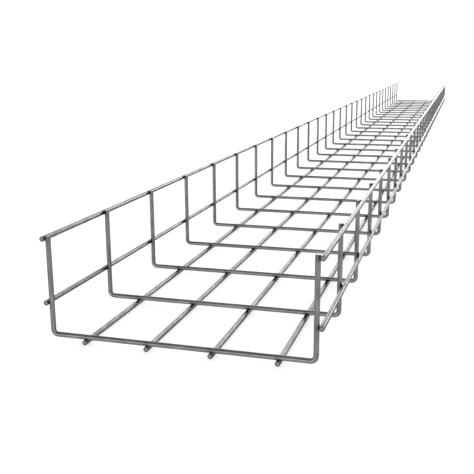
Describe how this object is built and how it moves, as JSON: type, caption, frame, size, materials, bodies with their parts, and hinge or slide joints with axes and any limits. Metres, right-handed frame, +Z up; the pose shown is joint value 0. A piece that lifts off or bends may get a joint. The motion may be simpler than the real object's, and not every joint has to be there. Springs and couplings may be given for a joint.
{
  "type": "wire mesh cable basket",
  "caption": "Straight length of wire mesh cable tray: U-shaped cross wires welded to straight long wires to make an open channel that carries cables.",
  "frame": {"origin": "the middle of the length and of the width, on the ground under the floor wires", "axes": "+Z up, out of the open top; +Y along the basket; +X across it, to the right of someone who looks along +Y"},
  "size_m": [0.2158, 3.005, 0.0829],
  "materials": {
    "zinc_plated_wire": "zinc-plated drawn steel wire, satin, with small dark weld marks where the wires cross"
  },
  "bodies": {
    "root": {"cross_wire_01": "zinc_plated_wire", "cross_wire_02": "zinc_plated_wire", "cross_wire_03": "zinc_plated_wire", "cross_wire_04": "zinc_plated_wire", "cross_wire_05": "zinc_plated_wire", "cross_wire_06": "zinc_plated_wire", "cross_wire_07": "zinc_plated_wire", "cross_wire_08": "zinc_plated_wire", "cross_wire_09": "zinc_plated_wire", "cross_wire_10": "zinc_plated_wire", "cross_wire_11": "zinc_plated_wire", "cross_wire_12": "zinc_plated_wire", "cross_wire_13": "zinc_plated_wire", "cross_wire_14": "zinc_plated_wire", "cross_wire_15": "zinc_plated_wire", "cross_wire_16": "zinc_plated_wire", "cross_wire_17": "zinc_plated_wire", "cross_wire_18": "zinc_plated_wire", "cross_wire_19": "zinc_plated_wire", "cross_wire_20": "zinc_plated_wire", "cross_wire_21": "zinc_plated_wire", "cross_wire_22": "zinc_plated_wire", "cross_wire_23": "zinc_plated_wire", "cross_wire_24": "zinc_plated_wire", "cross_wire_25": "zinc_plated_wire", "cross_wire_26": "zinc_plated_wire", "cross_wire_27": "zinc_plated_wire", "cross_wire_28": "zinc_plated_wire", "cross_wire_29": "zinc_plated_wire", "cross_wire_30": "zinc_plated_wire", "cross_wire_31": "zinc_plated_wire", "floor_wire_1": "zinc_plated_wire", "floor_wire_2": "zinc_plated_wire", "floor_wire_3": "zinc_plated_wire", "floor_wire_4": "zinc_plated_wire", "left_rim_wire": "zinc_plated_wire", "left_side_wire_1": "zinc_plated_wire", "right_rim_wire": "zinc_plated_wire", "right_side_wire_1": "zinc_plated_wire"}
  },
  "joints": []
}
